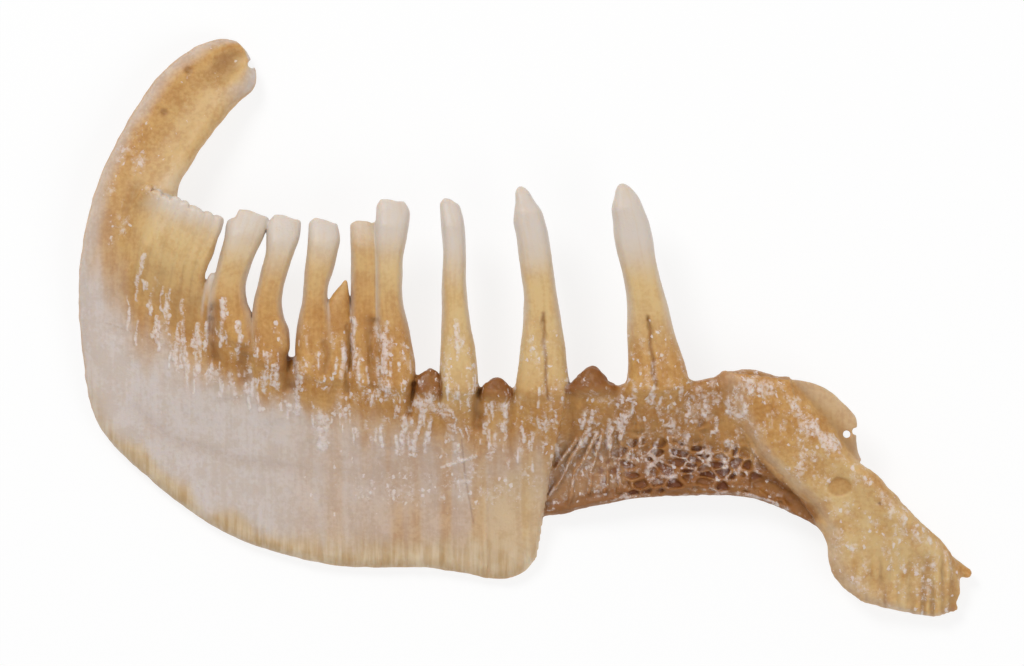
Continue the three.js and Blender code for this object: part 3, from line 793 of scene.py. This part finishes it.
class Skin:
    """Masks over the vertices, each from 0 to 1"""

    def __init__(self, vertices, quads, plates, teeth):
        self.vertices, self.teeth = vertices, teeth
        self.blade, self.shaft, self.process, self.flange, self.comb = plates
        x, y, z = self.x, self.y, self.z = vertices.T
        self.normals = vertex_normals(vertices, quads)
        # How far each vertex lies in a hollow, for the painted shade there
        smooth = np.stack([smoothed(axis, quads, CAVITY_ROUNDS) for axis in vertices.T], axis=1)
        self.cavity = np.einsum("ij,ij->i", smooth - vertices, self.normals)
        self.upper = ease(-0.3, 0.3, self.normals[:, 2])
        self.on_blade = ease(-0.1, 0.15, read(self.blade.edge, x, y))
        self.on_shaft, self.on_process, self.on_flange, self.on_comb = (
            ease(0.3, 0.05, plate.field(x, y, z)) for plate in plates[1:]
        )
        self.mottle = noise(x / 1.6, y / 1.6, z / 1.6) + 0.5 * noise(x / 0.7, y / 0.7, z / 0.7)
        self.root = root_band(x, y)
        self.wing = self.on_blade * ease(0.3, 0.5, read(self.blade.u, x, y))
        self.near_process = ease(-0.5, 0.7, read(self.process.edge, x, y) + 0.3 * self.mottle)
        self.bare_shaft = self.on_shaft * (1 - self.wing)
        self.shaft_v = read(self.shaft.v, x, y)
        self.fan = self.on_shaft * ease(6, 4, x) * ease(-5, -6.2, y) * self.upper
        self.cusp = self.cusps()

    def at(self, plate):
        return (read(plan, self.x, self.y) for plan in (plate.u, plate.v))

    def masks(self):
        """Masks by name, and the grain: places across it and along it"""
        x, y, z = self.x, self.y, self.z
        mottle, wing, process = self.mottle, self.wing, self.near_process
        bands = noise(x / 0.8, y / 9, 4.5) + 0.6 * noise(x / 0.3, y / 6, 7.5)
        u, v = self.at(self.blade)
        process_u, process_v = self.at(self.process)
        flange_v = read(self.flange.v, x, y)
        flange = self.on_flange * (1 - process) * (0.85 + 0.25 * noise((x + y) / 0.4, (x - y) / 2, 2.5))
        low = ease(0.36, 0.5, u)
        rind = mix(0.65, 0.85, low) * ease(0.78 - 0.04 * low, 0.98 - 0.06 * low, v + 0.05 * mottle)
        lining = self.on_blade * ease(0.5, 0.42, u) * ease(0.36, 0.06, v + 0.05 * mottle)
        lobe = most(ease(0.24, 0.12, u), 0.3 * ease(0.3, 0.38, u))
        warm = 0.26 + 0.3 * ease(-0.1, 0.6, bands) + 0.12 * ease(-8, -9.5, y)
        yellow = wing * ease(-3.4, -1.2, x + 0.5 * mottle) * ease(-6, -8, y + mottle)
        pale = (1 - 0.5 * yellow) * most(
            wing * (1 - self.root) * (1 - warm * ease(-14, -6, x)),
            rind * self.on_blade * ease(0.55, 0.45, u),
            lobe * lining,
            0.3 * flange * ease(0.4, 0.9, flange_v),
            0.25 * self.fan * (1 - wing),
            0.4 * process * most(ease(0.22, 0.02, process_v), ease(0.94, 1, process_u)),
        )
        thin = 0.07 * ease(-9, -15, x)
        rim = ease(0.8 + thin, 0.98, v + 0.04 * mottle + 0.02 * bands + 0.05 * ease(-6, -3, x))
        rim = rim * ease(0.54, 0.64, u) * self.on_blade
        ripe = ease(0.15, 0.42, process_u + 0.12 * mottle) - 0.2 * ease(0.8, 1, process_u)
        patchy = noise(x / 0.5, y / 1.1, z / 0.5) + 0.5 * noise(x / 0.25, y / 0.5, z / 0.25)
        gold = most(
            lining * (0.5 + 0.5 * ease(0.26, 0.36, u)),
            0.8 * yellow,
            mix(0.7, 0.15, ease(0.2, 0.8, v)) * self.on_blade * ease(0.58, 0.44, u),
            0.65 * flange * ease(0.05, 0.5, flange_v),
            process * ripe * np.clip(0.75 - 0.4 * patchy, 0, 1) * (1 - 0.7 * facet(x, y)),
        )
        across = x + 0.25 * (y + 5) * self.bare_shaft
        enamel_and_side_light, feet, on_tooth = (np.zeros(len(x)) for _ in range(3))
        for tooth in self.teeth:
            on = ease(0.14, 0.02, tooth.field(x, y, z))
            shank = on * ease(tooth.foot + 0.2, tooth.foot + 2, y + 0.3 * bands)
            centre = np.interp(y, tooth.y, tooth.x)
            if tooth.pale:
                side = np.abs(x - centre) * 2 / np.interp(y, tooth.y, tooth.width)
                # Painted light on the shank's thin sides, lighter towards cream
                lit_sides = shank * ease(0.5, 1, side) * ease(-1.5, 1, y)
                top = tooth.tip - y + 0.25 * mottle
                crown = ease(tooth.pale + 1.5, max(tooth.pale - 1.3, 0), top)
                enamel_and_side_light = most(enamel_and_side_light, SIDE_PAINTED_LIGHT * lit_sides, tooth.ripe * on * crown)
            ripe = tooth.ripe * ease(tooth.golden, tooth.golden + 3.6, y + 0.3 * mottle)
            gold = mix(gold, ripe, shank)
            pale = pale * (1 - shank * ease(-5.5, -3, y))
            rim = rim * (1 - on)
            across = mix(across, x - centre + tooth.x[0], shank)
            on_tooth, feet = most(on_tooth, on), most(feet, shank)
        comb_u, comb_v = self.at(self.comb)
        top = comb_u * COMB_LENGTH
        on_comb = self.on_comb * ease(6.8, 4.8, top) * ease(1, 0.65, comb_v)
        seam = slats(comb_u, comb_v)[1]
        enamel_and_side_light = most(enamel_and_side_light, on_comb * ease(2.8, 0.2, top + 0.5 * mottle))
        gold = most(gold, on_comb * (0.5 + 0.5 * ease(5.5, 2.5, top + 0.5 * mottle)))
        across = mix(across, mix(-16.3, -21, comb_v), on_comb)
        stain_and_shade = most(self.stain_and_shade(feet), self.cusp, 0.2 * on_comb * seam * ease(2.5, 5, top + mottle))
        share = self.crust_share(on_tooth) * (1 - 0.6 * enamel_and_side_light)
        clump = 0.55 * noise(x / 0.32, y / 0.7, z / 0.5) + 0.45 * noise(x / 0.14, y / 0.22, z / 0.14)
        masks = {
            "pale": pale * (1 - on_comb),
            "rim": rim,
            "gold": gold,
            "enamel_and_side_light": enamel_and_side_light,
            "stain_and_shade": stain_and_shade * (1 - enamel_and_side_light),
            "deep": self.deep(),
            "crust": share + (0.1 + 1.6 * share * (1 - share)) * clump,
            "even": most(self.on_blade * ease(0.5, 0.3, u), 0.6 * process),
        }
        return masks, np.stack([across, y, z], axis=1)

    def stain_and_shade(self, feet):
        """How brown the bone is, apart from the low cusps and the comb's seams: its stains, and painted
        shade in the horn's hollow, recesses, slits, pores, the crease and hollows of the skin
        """
        x, y, wing, process = self.x, self.y, self.wing, self.near_process
        bare = self.bare_shaft * (1 - 0.85 * process) * (1 - 0.8 * feet)
        bare = bare * (1 - 0.6 * ease(1.4, 0.5, oval(x, y, **SMOOTH_FACE)))
        spread = mix(*SHAFT_STAIN, ease(0.4, 0.75, self.shaft_v)) * (1 - 0.4 * self.fan)
        end = ease(0.92, 0.98, read(self.process.u, x, y)) * process
        sway = 0.12 * noise(x / 0.5, y / 0.5, 6.5)
        upper = [
            # Painted shade in the horn's hollow
            0.45 * ease(1.9, 0.3, oval(x, y, **HORN_HOLLOW) + 0.4 * self.mottle),
            0.12 * facet(x, y),
            0.12 * wing * streak(x, y, GROWTH_LINE, 0.35),
            0.13 * wing * ease(-10, -6.5, x) * ease(-9.5, -7.5, y),
        ]
        # Painted shade: recesses darker the deeper they are cut, and the slits and pores dark inside
        for points, width, deep in RECESSES:
            upper.append(min(0.65, 3 * deep) * streak(x + sway, y, points, 1.5 * width))
        for points, width, _ in SLITS:
            upper.append(0.7 * streak(x, y, points, width))
        for centre, radius in PORES:
            upper.append(0.5 * ease(2, 0.6, oval(x, y, centre, (radius, radius))))
        return most(
            bare * most(spread, 0.9 * ease(0.78, 0.9, self.shaft_v)),
            0.45 * process * ease(0.1, 0.6, striae(self.process, x, y)),
            0.6 * end * ease(0, 0.4, noise(x / 0.3, y / 0.3, 1.5)),
            # Painted shade along the crease between the process and its flange
            0.65 * self.on_flange * streak(x - 0.3, y - 0.2, CREASE, 0.7),
            self.upper * most(*upper),
            # Painted shade wherever the skin lies in a hollow, on the roots and the shaft
            0.6 * ease(0.03, 0.16, self.cavity) * most(0.25 * self.root, self.on_shaft * (1 - process)),
        )

    def cusps(self):
        """1 on the tops of the low cusps between the last teeth"""
        top = ease(-3.9, -3, self.y + 0.3 * self.mottle)
        low = self.teeth[len(TEETH) + 2:len(TEETH) + len(STUBS)]
        return top * most(*(ease(0.25, 0.02, tooth.field(self.x, self.y, self.z)) for tooth in low))

    def deep(self):
        """1 in the deepest cells of the spongy shaft: their brown floors, painted darker as shade the
        deeper they are, and painted shade along the crack
        """
        x, y = self.x, self.y
        cell = sponge(self.shaft, x, y)[0] / SPONGE_DEPTH
        cell = mix(0.45, 1, ease(0.5, 0.8, self.shaft_v)) * ease(0.2, 0.7, cell)
        return most(cell, 0.3 * streak(x, y, CRACK, 0.05)) * self.upper

    def crust_share(self, on_tooth):
        """Share of the face under white grains of dried tissue, most on the roots and on the shaft"""
        x, y, mottle = self.x, self.y, self.mottle
        root, wing, process = self.root, self.wing, self.near_process
        fringe = 4 * wing * root * (1 - root) * ease(-20, -17, x)
        strewn = wing * (1 - root) * ease(-10.5, -8, y) * ease(-13, -7, x + mottle)
        margin = ease(0.6, 0.95, read(self.process.v, x, y))
        share = most(
            0.04,
            0.3 * root * most(wing, on_tooth) * ease(1.8, -1.2, y),
            0.13 * self.on_blade * (1 - wing),
            fringe * (0.3 + 0.35 * noise(x / 0.22, y / 1.1, 3.5)),
            0.3 * strewn,
            0.34 * self.bare_shaft * (1 - process),
            mix(0.3, 0.4, margin) * process * (1 - 0.8 * facet(x, y)),
        )
        for start, end, width in crust_dashes():
            middle = np.add(start, end) / 2
            near = (np.abs(x - middle[0]) < DASH_REACH[0]) & (np.abs(y - middle[1]) < DASH_REACH[1])
            near = np.flatnonzero(near)
            sway = 0.15 * noise(y[near] / 0.5, start[0], 0.5)
            dash = 0.76 * streak(x[near] + sway, y[near], [start, end], 1.5 * width)
            share[near] = most(share[near], dash)
        for centre, size, turn, strength in CRUST_PATCHES:
            away = oval(x, y, centre, size, turn) + 0.3 * mottle
            share = most(share, strength * ease(1.5, 0.3, away))
        wall = sponge(self.shaft, x, y)[1] * (0.46 + 0.25 * noise(x / 0.3, y / 0.3, 7.5))
        fan = most(*(streak(x, y, line, 0.12) for line in FAN_WALLS)) * self.bare_shaft
        lines = noise(read(self.shaft.u, x, y) * 9, self.shaft_v * 40, 6.5)
        rim = self.bare_shaft * ease(0.8, 0.9, self.shaft_v) * (1 - process)
        share = mix(most(share, wall, 0.56 * fan), 0.27 + 0.4 * lines, rim)
        share = most(share, 0.6 * streak(x, y, CREASE, 0.3))
        for points, width, _ in RECESSES:
            share = share * (1 - 0.6 * streak(x, y, points, width))
        return np.clip(share, 0, 1) * mix(0.4, 1, self.upper) * (1 - 0.3 * self.cusp)

    def displaced(self, masks):
        """Vertices moved along their normals: grain of the bone and grains of crust"""
        x, y, z = self.x, self.y, self.z
        fine, coarse = (noise(x / size, y / size, z / size) for size in (0.2, 0.9))
        rough = mix(0.01, 0.025, most(self.on_shaft, 0.5 * self.on_process)) + 0.04 * self.cusp
        grains = ease(0.4, 0.9, masks["crust"])
        move = rough * fine * (1 - 0.6 * masks["enamel_and_side_light"]) + 0.03 * coarse + CRUST_HEIGHT * grains
        moved = self.vertices + move[:, None] * self.normals
        moved[:, 2] = most(moved[:, 2], FLOOR_GAP)
        return moved


def add_attributes(piece, masks, grain):
    for name, values in masks.items():
        layer = piece.data.attributes.new(name, "FLOAT", "POINT")
        layer.data.foreach_set("value", np.clip(values, 0, 1).astype(np.float32))
    layer = piece.data.attributes.new("grain", "FLOAT_VECTOR", "POINT")
    layer.data.foreach_set("vector", grain.astype(np.float32).ravel())


def srgb(red, green, blue):
    """Colour for a socket, from a colour as a screen shows it"""
    share = np.array([red, green, blue]) / 255
    linear = np.where(share > 0.04045, ((share + 0.055) / 1.055) ** 2.4, share / 12.92)
    return (*linear.tolist(), 1)


AMBER_DARK = srgb(172, 118, 56)
AMBER_LIGHT = srgb(202, 158, 94)
GOLD = srgb(208, 178, 126)
CREAM = srgb(206, 194, 183)
PALE = srgb(205, 193, 186)
PALE_STREAK = srgb(198, 183, 172)
RIM = srgb(210, 190, 160)
RIM_DARK = srgb(186, 154, 112)
BROWN = srgb(134, 83, 34)
PIT_BROWN_AND_SHADE = srgb(118, 64, 28)
CRUST = srgb(222, 211, 207)


class Shader:
    """Short ways to lay and join the nodes of one material"""

    def __init__(self, name):
        self.material = bpy.data.materials.new(name)
        self.material.use_nodes = True
        self.tree = self.material.node_tree
        self.bsdf = self.tree.nodes["Principled BSDF"]

    def node(self, kind, output, inputs=(), **settings):
        made = self.tree.nodes.new(kind)
        for key, value in settings.items():
            setattr(made, key, value)
        for key, value in dict(inputs).items():
            self.feed(made.inputs[key], value)
        return made.outputs[output]

    def feed(self, socket, value):
        if isinstance(value, bpy.types.NodeSocket):
            self.tree.links.new(value, socket)
        else:
            socket.default_value = value

    def mask(self, name):
        return self.node("ShaderNodeAttribute", "Fac", attribute_name=name)

    def noise(self, vector, scale, detail=3):
        inputs = {"Vector": vector, "Scale": scale, "Detail": detail}
        return self.node("ShaderNodeTexNoise", "Fac", inputs)

    def scaled(self, vector, factors):
        return self.node("ShaderNodeVectorMath", "Vector", {0: vector, 1: factors}, operation="MULTIPLY")

    def ramp(self, value, low, high, to_low=0, to_high=1):
        inputs = {"Value": value, "From Min": low, "From Max": high, "To Min": to_low, "To Max": to_high}
        return self.node("ShaderNodeMapRange", "Result", inputs, interpolation_type="SMOOTHSTEP")

    def maths(self, operation, a, b):
        return self.node("ShaderNodeMath", "Value", {0: a, 1: b}, operation=operation, use_clamp=True)

    def grains(self, vector, cover):
        """Separate specks of random sizes, more and larger ones where cover is higher"""
        inputs = {"Vector": vector, "Scale": 1}
        away = self.node("ShaderNodeTexVoronoi", "Distance", inputs, voronoi_dimensions="2D")
        pick = self.node("ShaderNodeSeparateColor", "Red", {"Color": away.node.outputs["Color"]})
        size = self.ramp(self.maths("SUBTRACT", cover, pick), 0, 0.2, 0, 0.36)
        return self.ramp(self.maths("SUBTRACT", size, away), 0, 0.12)

    def between(self, factor, a, b):
        return self.node("ShaderNodeMix", 0, {0: factor, 2: a, 3: b})

    def mix(self, factor, a, b):
        return self.node("ShaderNodeMix", 2, {0: factor, 6: a, 7: b}, data_type="RGBA")

    def worn(self, name, value, low, high, least):
        """A mask that falls to a share of itself where a value is low"""
        return self.maths("MULTIPLY", self.mask(name), self.ramp(value, low, high, least))

    def total(self, *parts):
        """Sum of values, each given with its low and high ends and its share of the sum"""
        ramps = [self.ramp(value, low, high, 0, share) for value, low, high, share in parts]
        return reduce(lambda a, b: self.maths("ADD", a, b), ramps)

    def set_sockets(self, sockets):
        for name, value in sockets.items():
            self.feed(self.bsdf.inputs[name], value)


def bone_material():
    shader = Shader("dry_bone")
    place = shader.node("ShaderNodeTexCoord", "Object")
    grain = shader.node("ShaderNodeAttribute", "Vector", attribute_name="grain")
    fibre = shader.noise(shader.scaled(grain, (4.5, 0.3, 1)), 1, 5)
    fibre = shader.between(shader.mask("even"), fibre, shader.noise(place, 2500, 4))
    mottle = shader.noise(place, 900, 4)
    speck = shader.noise(place, 9000, 3)
    grit = shader.noise(place, 5000, 5)
    tone = shader.total((mottle, 0.35, 0.65, 0.4), (fibre, 0.3, 0.7, 0.3), (grit, 0.35, 0.65, 0.3))
    rim = shader.total((fibre, 0.36, 0.64, 0.6), (mottle, 0.36, 0.64, 0.4))
    crust = shader.mask("crust")
    grains = shader.maths("SUBTRACT", shader.ramp(speck, 0.3, 0.7), shader.ramp(crust, 0, 1, 1, 0.15))
    haze = shader.ramp(crust, 0.25, 0.8, 0, 0.85)
    haze = shader.maths("MULTIPLY", haze, shader.ramp(grit, 0.38, 0.6, 0.2))
    white = shader.maths("MAXIMUM", shader.ramp(grains, 0, 0.35, 0, 0.6), haze)
    warp = shader.node("ShaderNodeTexNoise", "Color", {"Vector": grain, "Scale": 5, "Detail": 2})
    bent = {0: warp, 1: (0.3, 0.3, 0.3), 2: grain}
    bent = shader.node("ShaderNodeVectorMath", "Vector", bent, operation="MULTIPLY_ADD")
    flecks = shader.grains(shader.scaled(bent, (3.4, 2.6, 1)), shader.maths("MULTIPLY", crust, 0.75))
    white = shader.maths("MAXIMUM", white, shader.maths("MULTIPLY", flecks, 0.75))
    layers = [
        (shader.worn("gold", tone, 0.2, 0.7, 0.7), GOLD),
        (shader.mask("pale"), shader.mix(shader.ramp(tone, 0.25, 0.75), PALE_STREAK, PALE)),
        (shader.mask("rim"), shader.mix(rim, RIM_DARK, RIM)),
        # Brown: the bone's stains, and painted shade in its hollows, recesses, slits, pores and crease
        (shader.worn("stain_and_shade", mottle, 0.2, 0.55, 0.6), BROWN),
        # Cream: the crowns' own colour, and painted light on the shanks' sides
        (shader.worn("enamel_and_side_light", fibre, 0.25, 0.55, 0.8), CREAM),
        # Pit colour: the brown of the cells' floors, with painted shade in the deepest cells and the crack
        (shader.mask("deep"), PIT_BROWN_AND_SHADE),
        (white, CRUST),
    ]
    colour = shader.mix(tone, AMBER_DARK, AMBER_LIGHT)
    for share, tint in layers:
        colour = shader.mix(share, colour, tint)
    rough = shader.ramp(shader.mask("enamel_and_side_light"), 0, 1, 0.5, 0.42)
    relief = shader.total((fibre, 0.2, 0.8, 0.2), (speck, 0.2, 0.8, 0.25), (white, 0, 1, 0.3))
    bump = {"Height": relief, "Strength": 0.6, "Distance": 0.00006}
    shader.set_sockets({
        "Base Color": colour,
        "Roughness": shader.maths("ADD", rough, shader.ramp(white, 0, 1, 0, 0.25)),
        "Normal": shader.node("ShaderNodeBump", "Normal", bump),
        "Subsurface Weight": 0.4,
        "Subsurface Radius": (1, 0.6, 0.3),
        "Subsurface Scale": 0.0005,
        "Specular IOR Level": 0.4,
    })
    return shader.material


def floor_material():
    shader = Shader("white_floor")
    shader.set_sockets({
        "Base Color": (0.16, 0.16, 0.16, 1),
        "Roughness": 0.9,
        "Emission Color": (1, 1, 1, 1),
        "Emission Strength": 0.81,
    })
    return shader.material


def build_bone():
    blade, shaft, process, flange = (Plate(spec) for spec in (BLADE, SHAFT, PROCESS, FLANGE))
    ground = np.where(blade.known, blade.mid + blade.half, 0)
    ground = np.where(shaft.known, most(ground, shaft.mid + shaft.half), ground)
    cover = most(blade.edge, shaft.edge)
    plates = [blade, shaft, process, flange, build_comb(ground)]
    teeth = [Tooth(spec, ground, cover) for spec in TEETH + STUBS + WEBS]
    vertices, quads = build_volume(plates, teeth).skin()
    skin = Skin(vertices, quads, plates, teeth)
    masks, grain = skin.masks()
    piece = make_mesh("pharyngeal_bone", skin.displaced(masks), quads)
    add_attributes(piece, masks, grain)
    piece.data.materials.append(bone_material())
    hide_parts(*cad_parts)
    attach(piece, "root")


# Floor, light and camera

FLOOR_HALF = 1.0  # metres
FRAME_WIDTH = 51.2  # across the picture, at the bone's height
PICTURE_MIDDLE = (-0.675, -0.275)
PICTURE_HEIGHT = 2.5
LENS = 500
SENSOR = 36
CLIP_END = 10  # metres
WORLD_LIGHT = 0.47
# Soft lamps: place and width in metres, and power in watts
LAMPS = [
    ("key", (-0.14, 0.2, 0.28), 0.12, 0.7),
    ("fill", (0.2, -0.12, 0.25), 0.2, 0.34),
]


def build_floor():
    mesh = bpy.data.meshes.new("floor")
    corners = [(-1, -1), (1, -1), (1, 1), (-1, 1)]
    mesh.from_pydata([(x * FLOOR_HALF, y * FLOOR_HALF, 0) for x, y in corners], [], [(0, 1, 2, 3)])
    mesh.materials.append(floor_material())
    floor = bpy.data.objects.new("floor", mesh)
    bpy.context.collection.objects.link(floor)


def build_lights():
    world = bpy.data.worlds.new("world")
    world.use_nodes = True
    world.node_tree.nodes["Background"].inputs["Color"].default_value = (1, 1, 1, 1)
    world.node_tree.nodes["Background"].inputs["Strength"].default_value = WORLD_LIGHT
    bpy.context.scene.world = world
    for name, place, width, power in LAMPS:
        lamp = bpy.data.lights.new(name, "AREA")
        lamp.energy, lamp.size = power, width
        piece = bpy.data.objects.new(name, lamp)
        piece.location = place
        piece.rotation_mode = "QUATERNION"
        piece.rotation_quaternion = Vector(place).to_track_quat("Z", "Y")
        bpy.context.collection.objects.link(piece)


def build_camera():
    data = bpy.data.cameras.new("camera")
    data.lens, data.sensor_width = LENS, SENSOR
    data.clip_end = CLIP_END
    camera = bpy.data.objects.new("camera", data)
    distance = FRAME_WIDTH * LENS / SENSOR
    camera.location = Vector((*PICTURE_MIDDLE, PICTURE_HEIGHT + distance)) * MM
    bpy.context.collection.objects.link(camera)
    bpy.context.scene.camera = camera


bpy.context.scene.view_settings.view_transform = "Standard"
build_camera()
build_lights()
build_floor()
build_bone()
